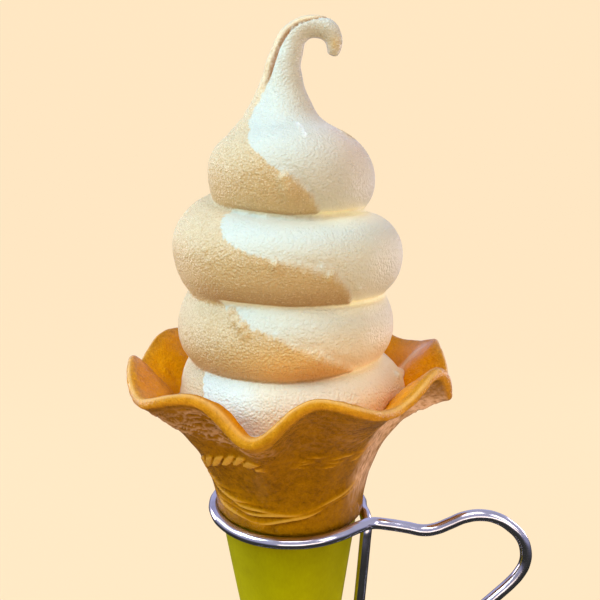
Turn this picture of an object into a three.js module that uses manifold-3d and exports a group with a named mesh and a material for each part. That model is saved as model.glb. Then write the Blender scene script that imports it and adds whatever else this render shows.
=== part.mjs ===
// A two-flavour soft serve in a flared wafer cone with a paper sleeve, standing upright in a bent-wire holder.
// Millimetres, +Z up. Everything is modelled about the cone's axis with the holder's hoop at height 0, and the
// group at the end lifts it onto the table and centres it.
// Directions round the cone are turns: 0 is +X (the right), a quarter is the back, a half is the left and
// three quarters is the front. The rope of cream is laid the other way round, right, front, left, back.
import * as THREE from "three";
import { mergeVertices } from "three/addons/utils/BufferGeometryUtils.js";
import Module from "manifold-3d";

const wasm = await Module();
wasm.setup();

// --- driving dimensions -------------------------------------------------------------------------------------
const gap = 0.3; // clearance kept between neighbouring pieces
const full = 2 * Math.PI;

const wireRadius = 1.56;
const hoopRadius = 21.5; // centre line of the wire round the cone
const hoopHeight = 95; // height of the hoop above the table
const hoopFirst = 295; // directions between which the hoop is round, in degrees
const hoopLast = 10;
const footRadius = 38;
const legPlane = -6.3; // y of the leg, which hangs just behind the handle's wire
const legLift = 0.2; // the leg stays a hair clear of the table and of the foot ring
const legRoute = [[21.3, -6.5], [19.6, -26], [17.2, -58]]; // centre line as [x, height], down to its bend
const legBend = [[15.4, 9], [16.3, 3], [18.9, 0.5], [22.5, 0]]; // the same, with the height above the foot
const handlePlane = -9.6; // y of the handle's wire
const handleRoute = [
  [21.9, -0.4], [29, -1.6], [36.7, -3], [43, -1], [51.6, 1.5], [59.3, -1.6], [64.4, -9.5], [62.3, -16],
  [55.3, -23.8], [35, -44.4], [15, -64.6],
];

const rimRadius = 42.8; // mean radius of the wavy rim
const rimHeight = 40.2; // mean height of the rim above the hoop
const rimThickness = 2.6;
const wallThickness = 1.8;
const petalSteps = 72; // faces round the wafer
const flareStart = 4; // height at which the straight cone starts to flare into petals
const flareRadius = 20.2;
const flareUpright = [1.6, 10.5]; // out and up to the end of the part of the flare that is still nearly upright
const flareBulge = 0.72; // share of the rim's height at which the flare bends out most
const flareReach = 0.32; // share of the rim's overhang that the flare has there, on the front and back
const flareLean = 0.06; // how much smaller that share is on the right, and larger on the left
const coneTipHeight = -86;
const coneTipRadius = 4.6;
const waistRadius = 18.9; // outside of the cone in the plane of the hoop

const sleeveThickness = 0.4;
const sleeveTop = -0.9; // mean height of its upper edge, which is cut a little lower on the right
const sleeveTopSlope = 0.75;
const sleeveBottom = -80;

const ropeDepth = 11.5; // from the middle of the cream's rope out to its bulge
const ropeOverlap = 1.22; // how far each coil is squashed into its neighbours
const ropeSides = 12;
const stepsPerTurn = 18;
const creamTop = 150; // above the tip of the cream
// The cream behind the coils and down in the cone, as [radius, height].
const coreProfile = [[0, -84], [29, -84], [29, 31], [17, 36], [17, 80], [13, 88], [13, 97], [0, 98]];

// Waves of the rim, as [waves round the rim, height, turn of a crest in degrees].
const heightWaves = [
  [1, 0.6, 80], [2, 0.8, -17], [4, 1.8, 27], [7, 0.6, 25], [8, 3.1, 10], [9, 0.2, 20], [11, 0.2, -4], [12, 0.7, 2],
];
const radiusWaves = [
  [1, 2.6, 95], [2, 0.5, -3], [3, 0.7, 33], [4, 1.3, 31], [5, 0.4, 5], [6, 0.6, -18], [7, 0.2, 20], [8, 0.3, -14],
  [10, 0.3, 5], [11, 0.3, -5], [12, 0.35, -10],
];

// Heights of the groove under the rope, a quarter turn apart, from the right, clockwise seen from above.
const grooveHeights = [
  24, 23, 24, 32, 44, 42.8, 43.8, 51.5, 60.7, 61.4, 63.4, 72, 82.3, 81.8, 84.8, 92, 98, 99, 99, 101, 102, 103,
];
// How far the rope's bulge stands from the axis, at the same places.
const bulgeRadii = [30.5, 29.5, 28.8, 28.6, 27.8, 28.6, 29.4, 29.8, 29.2, 29.6, 29.9, 25.5, 21.8, 21.5, 20.8, 18, 15];
const ropeQuarters = bulgeRadii.length - 1;

// Where the caramel half of the rope shows: it opens at the rope's upper edge at the back right, fills the
// left, and closes at its lower edge at the front right. Degrees round the cone, for each coil from below.
const caramelOpens = 50;
const caramelFull = 130;
const caramelNarrows = [208, 232, 232, 236];
const caramelCloses = [228, 310, 312, 291];
const caramelLap = 1.2; // where both are full, a coil's caramel runs into the caramel below it
const caramelSpread = 1.5; // how much it widens up and down towards the axis
const caramelReach = 45; // out past the cream's surface
const caramelStep = 12; // degrees
const stemRadius = 2; // the white in the middle that the caramel winds round
const stemFoot = 10;
const stemTop = 100;
const tongueTip = 0.2; // thickness of the caramel where it runs out

// The neck above the top coil, and the drawn-out tip that hooks over to the right: [x, height, radius].
const neckFoot = 95;
const neckShoulder = 103.4; // where the dome turns into the stalk
const neckTop = 119;
const neckStep = 2.8;
const neckSides = 12;
const neckLean = [-2, 100, 105]; // how far the stalk stands to the left, and the heights between which it goes there
const domeHeight = 90.5; // height of the dome's widest place
const domeRadius = 21;
const domeRise = 15.3;
const stalkRadius = 3.1; // what the stalk thins down to
const stalkSpread = 8.3; // how much thicker it is at the shoulder, and how fast that is lost going up
const hook = [
  [-0.75, 121, 3.9], [0.3, 124.4, 3.5], [2.9, 126.7, 2.8], [6.4, 127.15, 2.5],
  [9.7, 126.1, 2.3], [11.2, 123.7, 1.9], [11.1, 121.4, 1.5], [10.7, 120, 0.8],
];
// Where white and caramel part on the neck, as [x, height], seen from a little to the left of the front.
const neckParting = [[-11, 96], [-6.5, 109], [-3, 120], [1.2, 128], [1.2, 135]];
const neckPartingTurn = -24; // degrees

// --- helpers ------------------------------------------------------------------------------------------------
const radians = THREE.MathUtils.degToRad;

function polar(angle, radius, height) {
  return new THREE.Vector3(radius * Math.cos(angle), radius * Math.sin(angle), height);
}

// Smooth value at a place t between the entries of a list.
function along(values, t) {
  const places = values.map((_, index) => index);
  return new THREE.CubicInterpolant(places, values, 1).evaluate(t)[0];
}

// Skins a row of closed outlines with the same number of points. Each outline runs clockwise for someone who
// looks along the row. An open row gets a fan over each end.
function loft(outlines, closed) {
  const vertices = [];
  const count = outlines[0].length;
  const face = (a, b, c) => vertices.push(...a, ...b, ...c);
  const spans = closed ? outlines.length : outlines.length - 1;
  for (let i = 0; i < spans; i++) {
    const from = outlines[i];
    const to = outlines[(i + 1) % outlines.length];
    for (let j = 0; j < count; j++) {
      const k = (j + 1) % count;
      face(from[j], to[k], from[k]);
      face(from[j], to[j], to[k]);
    }
  }
  if (!closed) {
    for (const [outline, last] of [[outlines[0], false], [outlines.at(-1), true]]) {
      const middle = outline.reduce((sum, p) => sum.add(p), new THREE.Vector3()).divideScalar(count);
      for (let j = 0; j < count; j++) {
        const k = (j + 1) % count;
        if (last) face(middle, outline[k], outline[j]);
        else face(middle, outline[j], outline[k]);
      }
    }
  }
  const geometry = new THREE.BufferGeometry();
  geometry.setAttribute("position", new THREE.Float32BufferAttribute(vertices, 3));
  return geometry;
}

function solid(geometry) {
  const bare = geometry.index ? geometry.toNonIndexed() : geometry.clone();
  bare.deleteAttribute("normal");
  bare.deleteAttribute("uv");
  const merged = mergeVertices(bare, 1e-4);
  const corners = merged.index.array;
  const triangles = [];
  for (let i = 0; i < corners.length; i += 3) {
    const [a, b, c] = [corners[i], corners[i + 1], corners[i + 2]];
    if (a !== b && b !== c && c !== a) triangles.push(a, b, c);
  }
  const vertProperties = new Float32Array(merged.attributes.position.array);
  return new wasm.Manifold(new wasm.Mesh({ numProp: 3, vertProperties, triVerts: new Uint32Array(triangles) }));
}

function geometryOf(body) {
  const mesh = body.getMesh();
  const geometry = new THREE.BufferGeometry();
  geometry.setAttribute("position", new THREE.BufferAttribute(mesh.vertProperties, 3));
  geometry.setIndex(new THREE.BufferAttribute(mesh.triVerts, 1));
  return geometry;
}

function joined(bodies) {
  return bodies.reduce((whole, body) => whole.add(body));
}

// --- wafer cone ---------------------------------------------------------------------------------------------
function wave(list, angle) {
  return list.reduce((sum, [count, size, crest]) => sum + size * Math.cos(count * (angle - radians(crest))), 0);
}

// Middle line of the wafer in one direction round the cone, from the tip up to the lip: [radius, height].
function waferLine(angle) {
  const lip = new THREE.Vector2(rimRadius + wave(radiusWaves, angle), rimHeight + wave(heightWaves, angle));
  const start = new THREE.Vector2(flareRadius - wallThickness / 2, flareStart);
  const upright = new THREE.Vector2(start.x + flareUpright[0], start.y + flareUpright[1]);
  const bulge = new THREE.Vector2(
    THREE.MathUtils.lerp(start.x, lip.x, flareReach - flareLean * Math.cos(angle)),
    THREE.MathUtils.lerp(start.y, lip.y, flareBulge),
  );
  const flare = new THREE.CubicBezierCurve(start, upright, bulge, lip).getPoints(8);
  const straight = [
    new THREE.Vector2(coneTipRadius, coneTipHeight + wallThickness),
    new THREE.Vector2(waistRadius - wallThickness / 2, 0),
  ];
  return [...straight, ...flare];
}

// Points beside the middle line: out is +1 for the outside face and -1 for the inside face.
function waferFace(line, out, extra = 0) {
  return line.map((point, index) => {
    const before = line[Math.max(index - 1, 0)];
    const after = line[Math.min(index + 1, line.length - 1)];
    const heading = after.clone().sub(before).normalize();
    const lipShare = index / (line.length - 1);
    const half = THREE.MathUtils.lerp(wallThickness, rimThickness, lipShare ** 2) / 2 + extra;
    return new THREE.Vector2(point.x + out * half * heading.y, point.y - out * half * heading.x);
  });
}

function roundTheCone(outlineAt, steps = petalSteps) {
  const outlines = [];
  for (let i = 0; i < steps; i++) {
    const angle = (full * i) / steps;
    outlines.push(outlineAt(angle).map((p) => polar(angle, p.x, p.y)));
  }
  return loft(outlines, true);
}

function waferCone() {
  return roundTheCone((angle) => {
    const line = waferLine(angle);
    const outside = waferFace(line, 1);
    const inside = waferFace(line, -1).reverse();
    const [under, over] = [outside.at(-1), inside[0]];
    const crown = line.at(-1).clone().add(line.at(-1).clone().sub(line.at(-2)).setLength(rimThickness / 2));
    const rounded = [under.clone().lerp(crown, 0.62), crown, over.clone().lerp(crown, 0.62)];
    const tip = new THREE.Vector2(0, coneTipHeight);
    const well = new THREE.Vector2(0, inside.at(-1).y);
    return [tip, ...outside, ...rounded, ...inside, well];
  });
}

// Everything that the cream may fill: the inside of the wafer, less the clearance, and the open air above.
function roomForCream() {
  return roundTheCone((angle) => {
    const inside = waferFace(waferLine(angle), -1, gap);
    const lip = inside.at(-1);
    const bottom = new THREE.Vector2(0, inside[0].y);
    return [bottom, ...inside, new THREE.Vector2(lip.x, creamTop), new THREE.Vector2(0, creamTop)];
  });
}

// --- cream --------------------------------------------------------------------------------------------------
// Height of the groove under the rope after some quarters of a turn; the groove above lies one turn on.
function groove(quarter) {
  return along(grooveHeights, THREE.MathUtils.clamp(quarter, 0, grooveHeights.length - 1));
}

function ropeSection(quarter) {
  const angle = (-quarter / 4) * full;
  const [low, high] = [groove(quarter), groove(quarter + 4)];
  const middle = along(bulgeRadii, quarter) - ropeDepth;
  const halfHeight = ((high - low) / 2) * ropeOverlap;
  const points = [];
  for (let i = 0; i < ropeSides; i++) {
    const turn = (-full * i) / ropeSides;
    points.push(polar(angle, middle + ropeDepth * Math.cos(turn), (low + high) / 2 + halfHeight * Math.sin(turn)));
  }
  return points;
}

// The rope in pieces of half a turn that lap by a step, so that no piece runs into itself.
function rope() {
  const pieces = [];
  const stepsPerPiece = stepsPerTurn / 2;
  for (let start = 0; start < ropeQuarters; start += 2) {
    const outlines = [];
    for (let i = 0; i <= stepsPerPiece + 1; i++) outlines.push(ropeSection(start + (2 * i) / stepsPerPiece));
    pieces.push(solid(loft(outlines, false)));
  }
  return joined(pieces);
}

function ringOfPoints(centre, radius, heading) {
  const side = new THREE.Vector3(0, 1, 0);
  const lift = new THREE.Vector3().crossVectors(heading, side);
  const points = [];
  for (let i = 0; i < neckSides; i++) {
    const turn = (full * i) / neckSides;
    const out = lift.clone().multiplyScalar(Math.cos(turn)).addScaledVector(side, Math.sin(turn));
    points.push(centre.clone().addScaledVector(out, radius));
  }
  return points;
}

// Radius of the neck: a dome over the top coil that runs out into a thinning stalk.
function neckRadius(height) {
  if (height < neckShoulder) return domeRadius * Math.sqrt(1 - ((height - domeHeight) / domeRise) ** 2);
  return stalkRadius + stalkSpread * Math.exp((neckShoulder - height) / stalkSpread);
}

function neckAndTip() {
  const stations = [];
  const [lean, leansFrom, leansTo] = neckLean;
  for (let height = neckFoot; height <= neckTop; height += neckStep) {
    stations.push([lean * THREE.MathUtils.smoothstep(height, leansFrom, leansTo), height, neckRadius(height)]);
  }
  stations.push(...hook);
  const centres = stations.map(([x, height]) => new THREE.Vector3(x, 0, height));
  const outlines = stations.map(([, , radius], index) => {
    const before = centres[Math.max(index - 1, 0)];
    const after = centres[Math.min(index + 1, centres.length - 1)];
    return ringOfPoints(centres[index], radius, after.clone().sub(before).normalize());
  });
  return solid(loft(outlines, false));
}

// The cream in the middle of the coils and in the cone below them.
function core() {
  const profile = coreProfile.map(([radius, height]) => new THREE.Vector2(radius, height));
  return solid(new THREE.LatheGeometry(profile, 20).rotateX(Math.PI / 2));
}

// The part of one coil that is caramel, as a slab between two grooves that narrows to nothing at both ends.
function caramelTongue(coil, extra) {
  const [inner, outer] = [stemRadius - gap, caramelReach];
  const outlines = [];
  for (let degrees = caramelOpens; degrees <= caramelCloses[coil]; degrees += caramelStep) {
    const quarter = 4 * coil + (360 - degrees) / 90;
    const low = groove(quarter);
    const high = groove(quarter + 4);
    const opened = THREE.MathUtils.smoothstep(degrees, caramelOpens, caramelFull);
    const closed = THREE.MathUtils.smoothstep(degrees, caramelNarrows[coil], caramelCloses[coil]);
    const lap = opened > 0.9 && degrees < (caramelNarrows[coil - 1] ?? 0) ? caramelLap : 0;
    const bottom = THREE.MathUtils.lerp(high, low, opened) - extra - lap;
    const top = THREE.MathUtils.lerp(high, low, closed) + extra + tongueTip;
    const angle = radians(degrees);
    const corners = [[inner, bottom - caramelSpread], [outer, bottom], [outer, top], [inner, top + caramelSpread]];
    outlines.push(corners.map(([r, z]) => polar(angle, r, z)));
  }
  return solid(loft(outlines, false));
}

// The caramel side of the neck, cut by a wall that leaves the stem white on its right.
function caramelNeck(extra) {
  const parting = neckParting.map(([x, height]) => new THREE.Vector2(x + extra, height));
  const [foot, top] = [parting[0].y, parting.at(-1).y];
  const side = new THREE.Shape([new THREE.Vector2(-30, foot), ...parting, new THREE.Vector2(-30, top)]);
  const slab = new THREE.ExtrudeGeometry(side, { depth: 60, bevelEnabled: false });
  return solid(slab.rotateX(Math.PI / 2).translate(0, 30, 0).rotateZ(radians(neckPartingTurn)));
}

function caramelRoom(extra) {
  return joined([...caramelCloses.map((_, coil) => caramelTongue(coil, extra)), caramelNeck(extra)]);
}

function cream() {
  return joined([rope(), core(), neckAndTip()]).intersect(solid(roomForCream()));
}

function stem() {
  const rod = new THREE.CylinderGeometry(stemRadius, stemRadius, stemTop - stemFoot, 12).rotateX(Math.PI / 2);
  return solid(rod.translate(0, 0, (stemFoot + stemTop) / 2));
}

// --- paper sleeve -------------------------------------------------------------------------------------------
// Outside of the straight part of the cone.
function coneRadiusAt(height) {
  const share = (height - coneTipHeight - wallThickness) / (-coneTipHeight - wallThickness);
  return THREE.MathUtils.lerp(coneTipRadius + wallThickness / 2, waistRadius, share);
}

function paperSleeve() {
  const steps = 32;
  return roundTheCone((angle) => {
    const inside = (height) => coneRadiusAt(height) + gap;
    const top = sleeveTop - sleeveTopSlope * Math.cos(angle);
    return [
      new THREE.Vector2(inside(sleeveBottom), sleeveBottom),
      new THREE.Vector2(inside(sleeveBottom) + sleeveThickness, sleeveBottom),
      new THREE.Vector2(inside(top) + sleeveThickness, top),
      new THREE.Vector2(inside(top), top),
    ];
  }, steps);
}

// --- wire holder --------------------------------------------------------------------------------------------
function wire(route, steps) {
  const section = new THREE.Shape().absarc(0, 0, wireRadius, 0, full);
  const extrudePath = new THREE.CatmullRomCurve3(route);
  return new THREE.ExtrudeGeometry(section, { steps, curveSegments: 4, extrudePath });
}

// The hoop goes once round the cone, from the handle's wire at the right front round to the leg behind it.
function hoop() {
  const route = [new THREE.Vector3(21.2, -10.6, 0), new THREE.Vector3(15.9, -15.6, 0)];
  for (let degrees = hoopFirst; degrees >= hoopLast; degrees -= 19) {
    route.push(polar(radians(degrees), hoopRadius, 0));
  }
  route.push(new THREE.Vector3(22, -2.6, -0.6), new THREE.Vector3(21.9, legPlane + 0.6, -2.8));
  route.push(new THREE.Vector3(21.4, legPlane, -6));
  return wire(route, 48);
}

// The leg drops from the hoop to the table and turns out to the foot ring, a hair clear of the table.
function leg() {
  const floor = wireRadius - hoopHeight + legLift;
  const ringInside = Math.sqrt((footRadius - wireRadius - gap) ** 2 - legPlane ** 2) - 2 * legLift;
  const bend = [...legBend, [ringInside, 0]].map(([x, height]) => [x, floor + height]);
  return wire([...legRoute, ...bend].map(([x, height]) => new THREE.Vector3(x, legPlane, height)), 24);
}

// The handle waves out to the right, turns down and comes back to the leg in a straight line.
function handle() {
  return wire(handleRoute.map(([x, height]) => new THREE.Vector3(x, handlePlane, height)), 36);
}

function footRing() {
  return new THREE.TorusGeometry(footRadius, wireRadius, 8, 32).translate(0, 0, wireRadius - hoopHeight);
}

// --- the whole ----------------------------------------------------------------------------------------------
const wafer = new THREE.MeshStandardMaterial({ color: 0xc98a2e, roughness: 0.45 });
const vanilla = new THREE.MeshStandardMaterial({ color: 0xf4ead2, roughness: 0.4 });
const caramel = new THREE.MeshStandardMaterial({ color: 0xd3ac78, roughness: 0.55 });
const paper = new THREE.MeshStandardMaterial({ color: 0xa9a81f, roughness: 0.6 });
const chrome = new THREE.MeshStandardMaterial({ color: 0xb9bcc4, roughness: 0.15, metalness: 1 });

const axisX = -10.8; // the cone's axis, set so that the whole with its handle is centred
const axisY = -1.42;
const group = new THREE.Group();
group.position.set(axisX, axisY, hoopHeight);

function add(name, geometry, material) {
  const mesh = new THREE.Mesh(geometry, material);
  mesh.name = name;
  group.add(mesh);
}

const swirl = cream();
add("wafer_cone", waferCone(), wafer);
add("vanilla_strand", geometryOf(swirl.subtract(caramelRoom(gap))), vanilla);
add("caramel_strand", geometryOf(swirl.intersect(caramelRoom(0)).subtract(stem())), caramel);
add("paper_sleeve", paperSleeve(), paper);
add("hoop", hoop(), chrome);
add("leg", leg(), chrome);
add("handle", handle(), chrome);
add("foot_ring", footRing(), chrome);

export default group;
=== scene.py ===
"""A two-flavour soft serve in a flared wafer cone with a paper sleeve, upright in its bent-wire holder.

Sizes are in millimetres about the cone's axis, with height 0 in the plane of the holder's hoop, and are turned
into the frame's metres where a mesh is made. Directions are degrees round the axis: 0 right, 90 back, 180 left,
270 front.
"""

import math

import bpy
import numpy as np
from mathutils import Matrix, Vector, noise
from mathutils.bvhtree import BVHTree


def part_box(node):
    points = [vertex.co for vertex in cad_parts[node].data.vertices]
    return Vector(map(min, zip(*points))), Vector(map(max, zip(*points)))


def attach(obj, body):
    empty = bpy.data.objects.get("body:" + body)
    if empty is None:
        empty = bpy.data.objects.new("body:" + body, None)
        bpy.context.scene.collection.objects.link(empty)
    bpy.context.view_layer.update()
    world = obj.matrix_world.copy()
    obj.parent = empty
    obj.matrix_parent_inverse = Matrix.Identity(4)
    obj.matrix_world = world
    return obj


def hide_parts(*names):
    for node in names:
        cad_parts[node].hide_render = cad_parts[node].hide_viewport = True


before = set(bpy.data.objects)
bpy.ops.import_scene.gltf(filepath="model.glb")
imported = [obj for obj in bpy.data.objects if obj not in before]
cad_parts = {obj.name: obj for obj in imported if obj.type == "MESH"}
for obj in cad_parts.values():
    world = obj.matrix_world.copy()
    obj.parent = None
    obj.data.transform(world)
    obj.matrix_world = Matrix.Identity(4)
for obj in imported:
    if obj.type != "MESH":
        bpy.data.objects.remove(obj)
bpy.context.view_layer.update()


# ==== Wire holder ====
# One length of bright 3 mm steel wire: it rises from the foot as the leg, bends over into the hoop that carries
# the cone, leaves it at the right front as the wavy handle, and comes back straight to a weld on the leg.
# A second wire, bent to a ring and welded to the leg, is the foot on the table.
ring_low, ring_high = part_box("foot_ring")
AXIS = Vector(((ring_low.x + ring_high.x) / 2, (ring_low.y + ring_high.y) / 2, 0.095))
WIRE = 1.56  # radius
FLOOR = 0.2 + WIRE - 95
LEG_Y = -6.3
HANDLE_Y = -9.6
FOOT_RADIUS = 38
HOOP_RADIUS = 21.2
HOOP_SHIFT = (0.4, -0.3)  # the cone doesn't hang quite in the middle of its hoop


def in_frame(points):
    """Millimetres about the cone's axis, as the frame's metres."""
    return np.asarray(points, float) / 1000 + np.array(AXIS)


def select_only(piece):
    bpy.ops.object.select_all(action="DESELECT")
    piece.select_set(True)
    bpy.context.view_layer.objects.active = piece


def new_piece(name):
    """Names the object that an operator has just made, and leaves it selected alone at the origin."""
    piece = bpy.context.active_object
    select_only(piece)
    piece.name = name
    piece.data.name = name
    bpy.ops.object.transform_apply(location=True, rotation=True, scale=True)
    return piece


def join(pieces, name):
    select_only(pieces[0])
    for piece in pieces:
        piece.select_set(True)
    bpy.ops.object.join()
    return new_piece(name)


def bend_wire(name, route, radius, sides=5):
    """A round wire through the points of a route, with closed ends."""
    curve = bpy.data.curves.new(name, "CURVE")
    curve.dimensions = "3D"
    curve.bevel_depth = radius / 1000
    curve.bevel_resolution = sides
    curve.resolution_u = 10
    curve.use_fill_caps = True
    spline = curve.splines.new("BEZIER")
    spline.bezier_points.add(len(route) - 1)
    for bend, place in zip(spline.bezier_points, in_frame(route)):
        bend.co = place
        bend.handle_left_type = bend.handle_right_type = "AUTO"
    piece = bpy.data.objects.new(name, curve)
    bpy.context.collection.objects.link(piece)
    select_only(piece)
    bpy.ops.object.convert(target="MESH")
    return new_piece(name)


def tidy_faces(piece, smooth=180):
    """Welds what meets, turns the faces outwards and shades them smooth up to an angle."""
    select_only(piece)
    bpy.ops.object.mode_set(mode="EDIT")
    bpy.ops.mesh.select_all(action="SELECT")
    bpy.ops.mesh.remove_doubles(threshold=1e-6)
    bpy.ops.mesh.normals_make_consistent(inside=False)
    bpy.ops.object.mode_set(mode="OBJECT")
    bpy.ops.object.shade_smooth_by_angle(angle=math.radians(smooth))


def bead(place, size):
    """A blob of weld, sunk into the wires that it joins."""
    bpy.ops.mesh.primitive_uv_sphere_add(segments=20, ring_count=12, radius=1, location=in_frame(place))
    bpy.context.active_object.scale = np.array(size) / 1000
    return new_piece("bead")


foot_inside = math.sqrt((FOOT_RADIUS - WIRE) ** 2 - LEG_Y**2)
route = [
    (foot_inside, LEG_Y, FLOOR), (29, LEG_Y, FLOOR), (22.5, LEG_Y, FLOOR), (18.9, LEG_Y, FLOOR + 0.5),
    (16.3, LEG_Y, FLOOR + 3), (15.3, LEG_Y, FLOOR + 9), (17.2, LEG_Y, -58), (19.65, LEG_Y, -26),
    (20.95, LEG_Y, -7), (21.25, LEG_Y + 0.7, -3.6), (21.1, -2.9, -2), (20.6, 0.6, -1.7),
]
# The hoop droops where it starts from the leg, and rises a little on its left.
route += [(HOOP_SHIFT[0] + HOOP_RADIUS * math.cos(math.radians(a)),
           HOOP_SHIFT[1] + HOOP_RADIUS * math.sin(math.radians(a)),
           0.5 * math.exp(-(((a - 185) / 40) ** 2)) - 2.1 * math.exp(-((a / 48) ** 2))) for a in range(18, 311, 18)]
route += [
    (18.7, -12.9, -0.1), (22.3, HANDLE_Y - 0.4, -0.7), (26.7, HANDLE_Y, -1.3), (31.4, HANDLE_Y, -2.1),
    (36.2, HANDLE_Y, -3), (39.5, HANDLE_Y, -2.5), (43, HANDLE_Y, -1), (47, HANDLE_Y, 0.8), (51.6, HANDLE_Y, 1.4),
    (55.7, HANDLE_Y, 0.5), (59.3, HANDLE_Y, -1.7), (62.4, HANDLE_Y, -5), (63.9, HANDLE_Y, -8.8),
    (63.9, HANDLE_Y, -12.5), (62.5, HANDLE_Y, -15.8), (60.2, HANDLE_Y, -18.8), (57.5, HANDLE_Y, -21.6),
    (55.3, HANDLE_Y, -23.8), (45, HANDLE_Y, -34.2), (35, HANDLE_Y, -44.4), (25, HANDLE_Y, -54.5),
    (16, HANDLE_Y, -63.6),
]
long_wire = bend_wire("long_wire", route, WIRE)
weld_top = bead((17.2, (LEG_Y + HANDLE_Y) / 2, -62.6), (1.4, 2.1, 2.4))
holder_wire = join([long_wire, weld_top], "holder_wire")

bpy.ops.mesh.primitive_torus_add(
    major_radius=FOOT_RADIUS / 1000, minor_radius=WIRE / 1000, major_segments=192, minor_segments=18,
    location=in_frame((0, 0, WIRE - 95)),
)
foot_wire = new_piece("foot_wire")
weld_foot = bead((foot_inside - 0.2, LEG_Y, FLOOR - 0.1), (1.6, 2, 1.3))
foot_wire = join([foot_wire, weld_foot], "foot_wire")
for piece in (holder_wire, foot_wire):
    select_only(piece)
    bpy.ops.object.shade_smooth_by_angle(angle=math.radians(50))


class Value:
    """A number on its way through a material's nodes; adding or multiplying it adds the Math nodes."""

    def __init__(self, recipe, socket):
        self.recipe = recipe
        self.socket = socket

    def reckon(self, operation, *others):
        values = dict(enumerate((self, *others)))
        return self.recipe.node("ShaderNodeMath", {"operation": operation}, values)

    def __add__(self, other):
        return self.reckon("ADD", other)

    def __sub__(self, other):
        return self.reckon("SUBTRACT", other)

    def __mul__(self, other):
        return self.reckon("MULTIPLY", other)

    def __truediv__(self, other):
        return self.reckon("DIVIDE", other)

    def __rsub__(self, other):
        return (self * -1) + other

    __radd__ = __add__
    __rmul__ = __mul__

    def clamped(self):
        return self.reckon("MINIMUM", 1).reckon("MAXIMUM", 0)

    def between(self, low, high):
        """0 below low, 1 above high and smooth from one to the other; high may be the smaller."""
        values = {"Value": self, "From Min": low, "From Max": high}
        return self.recipe.node("ShaderNodeMapRange", {"interpolation_type": "SMOOTHSTEP"}, values)


class Recipe:
    """A material, with one method that adds a node and gives back its output."""

    def __init__(self, name):
        self.material = bpy.data.materials.new(name)
        self.material.use_nodes = True
        self.tree = self.material.node_tree
        self.tree.nodes.clear()

    def node(self, kind, settings=None, values=None, output=0):
        made = self.tree.nodes.new(kind)
        for name, setting in (settings or {}).items():
            setattr(made, name, setting)
        for name, value in (values or {}).items():
            if isinstance(value, Value):
                self.tree.links.new(value.socket, made.inputs[name])
            else:
                made.inputs[name].default_value = value
        return Value(self, made.outputs[output]) if len(made.outputs) else None

    def place(self, stretch=(1, 1, 1)):
        """Object coordinates in millimetres, squeezed by a factor along each axis."""
        here = self.node("ShaderNodeTexCoord", output="Object")
        values = {"Vector": here, "Scale": tuple(1000 * s for s in stretch)}
        return self.node("ShaderNodeMapping", {"vector_type": "POINT"}, values)

    def speckle(self, size, place, detail=2, roughness=0.5, twist=0):
        """Soft noise about 0, from -1 to 1, with spots of a size in millimetres."""
        values = {"Vector": place, "Scale": 1 / size, "Detail": detail, "Roughness": roughness, "Distortion": twist}
        return self.node("ShaderNodeTexNoise", None, values) * 2 - 1

    def attribute(self, name):
        return self.node("ShaderNodeAttribute", {"attribute_name": name}, None, "Fac")

    def colour(self, share, start, end):
        """A colour that goes from start to end with a share."""
        return self.node("ShaderNodeMix", {"data_type": "RGBA"}, {0: share, 6: start, 7: end}, 2)

    def bump(self, height, below=None):
        """Height in millimetres as a bump, on top of another bump."""
        values = {"Strength": 1, "Distance": 0.001, "Height": height}
        if below is not None:
            values["Normal"] = below
        return self.node("ShaderNodeBump", None, values)

    def finish(self, values):
        shader = self.node("ShaderNodeBsdfPrincipled", None, values)
        self.node("ShaderNodeOutputMaterial", None, {"Surface": shader})
        return self.material


def srgb(red, green, blue):
    """A colour given as 0 to 255, as the light that it stands for."""
    def light(level):
        level /= 255
        return level / 12.92 if level <= 0.04045 else ((level + 0.055) / 1.055) ** 2.4
    return (light(red), light(green), light(blue), 1)


def finish_piece(piece, material, slot, *nodes):
    piece.data.materials.clear()
    piece.data.materials.append(material)
    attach(piece, "root")
    if nodes:
        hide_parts(*nodes)


steel = Recipe("bright_steel")
here = steel.place()
smears = steel.speckle(9, here, 3).between(-0.35, 0.6)
draw_lines = steel.speckle(0.5, steel.place((0.12, 1, 1)), 2)
bright_steel = steel.finish({
    "Base Color": steel.colour(smears, srgb(204, 198, 210), srgb(170, 162, 172)),
    "Metallic": 1,
    "Roughness": smears * 0.06 + 0.12,
    "Normal": steel.bump(draw_lines * 0.004 + steel.speckle(5, here) * 0.02),
})
finish_piece(holder_wire, bright_steel, "wire", "hoop", "leg", "handle")
finish_piece(foot_wire, bright_steel, "wire", "foot_ring")


# ==== Paper sleeve ====
# Thin green card rolled into a cone and glued with a lap at the back. It hides the straight part of the wafer and
# is pushed up into the hoop, so its upper edge stops just under the flared cup.
SLEEVE_BOTTOM = -80
SLEEVE_CARD = 0.26
LAP_ANGLE = 14


def lay_sheet(name, around, rows, place):
    """A grid of faces whose corners go where place says, given each corner's column and row."""
    bpy.ops.mesh.primitive_grid_add(x_subdivisions=around, y_subdivisions=rows - 1, size=1)
    piece = new_piece(name)
    corners = np.empty(len(piece.data.vertices) * 3)
    piece.data.vertices.foreach_get("co", corners)
    corners = corners.reshape(-1, 3)
    column = np.rint((corners[:, 0] + 0.5) * around).astype(int)
    row = np.rint((corners[:, 1] + 0.5) * (rows - 1)).astype(int)
    piece.data.vertices.foreach_set("co", in_frame(place(column, row)).ravel())
    piece.data.update()
    return piece


def apply_modifier(piece, kind, **settings):
    select_only(piece)
    modifier = piece.modifiers.new(kind.lower(), kind)
    for name, setting in settings.items():
        setattr(modifier, name, setting)
    bpy.ops.object.modifier_apply(modifier=modifier.name)


def sleeve_radius(height):
    return 19.2 + 0.162 * height


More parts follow.
